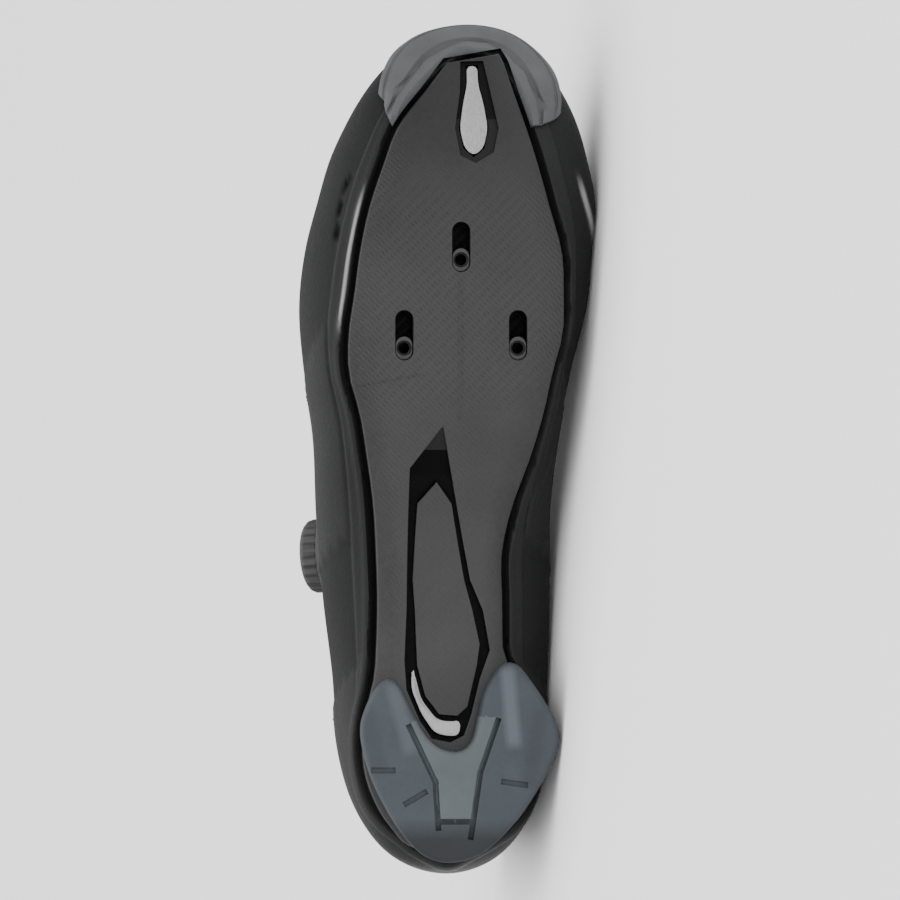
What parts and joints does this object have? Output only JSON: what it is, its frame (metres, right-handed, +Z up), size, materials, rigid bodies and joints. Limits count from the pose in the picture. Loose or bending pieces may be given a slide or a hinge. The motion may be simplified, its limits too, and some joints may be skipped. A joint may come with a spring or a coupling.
{
  "type": "cycling shoe",
  "caption": "Right road cycling shoe with a stiff cleat plate, rubber heel and toe pads and a lace dial, lying on its inner side.",
  "frame": {"origin": "centre of the bounding box's underside, on the floor that the shoe lies on", "axes": "+X from heel to toe, +Y from the sole to the collar side, +Z up from the floor (towards the shoe's outer side)"},
  "size_m": [0.2776, 0.1188, 0.0941],
  "materials": {
    "upper_shell": "satin black synthetic leather with a fine grain",
    "lining": "matte black knit",
    "sole_composite": "dark grey composite with a faint weave",
    "pad_rubber": "matte blue-grey rubber",
    "bumper_rubber": "matte light grey rubber",
    "vent_silver": "satin silver",
    "nut_metal": "satin steel",
    "dial_plastic": "black moulded plastic",
    "lace_wire": "dark coated wire"
  },
  "bodies": {
    "root": {"upper": "upper_shell", "tongue": "lining", "insole": "lining", "sole_plate": "sole_composite", "heel_pad": "pad_rubber", "toe_bumper": "bumper_rubber", "toe_vent": "vent_silver", "heel_vent": "vent_silver", "cleat_nut_front": "nut_metal", "cleat_nut_lateral": "nut_metal", "cleat_nut_medial": "nut_metal", "dial_base": "dial_plastic", "dial_knob": "dial_plastic", "lace": "lace_wire", "guide_medial_1": "dial_plastic", "guide_lateral_1": "dial_plastic", "guide_medial_2": "dial_plastic", "guide_lateral_2": "dial_plastic", "guide_medial_3": "dial_plastic"}
  },
  "joints": []
}
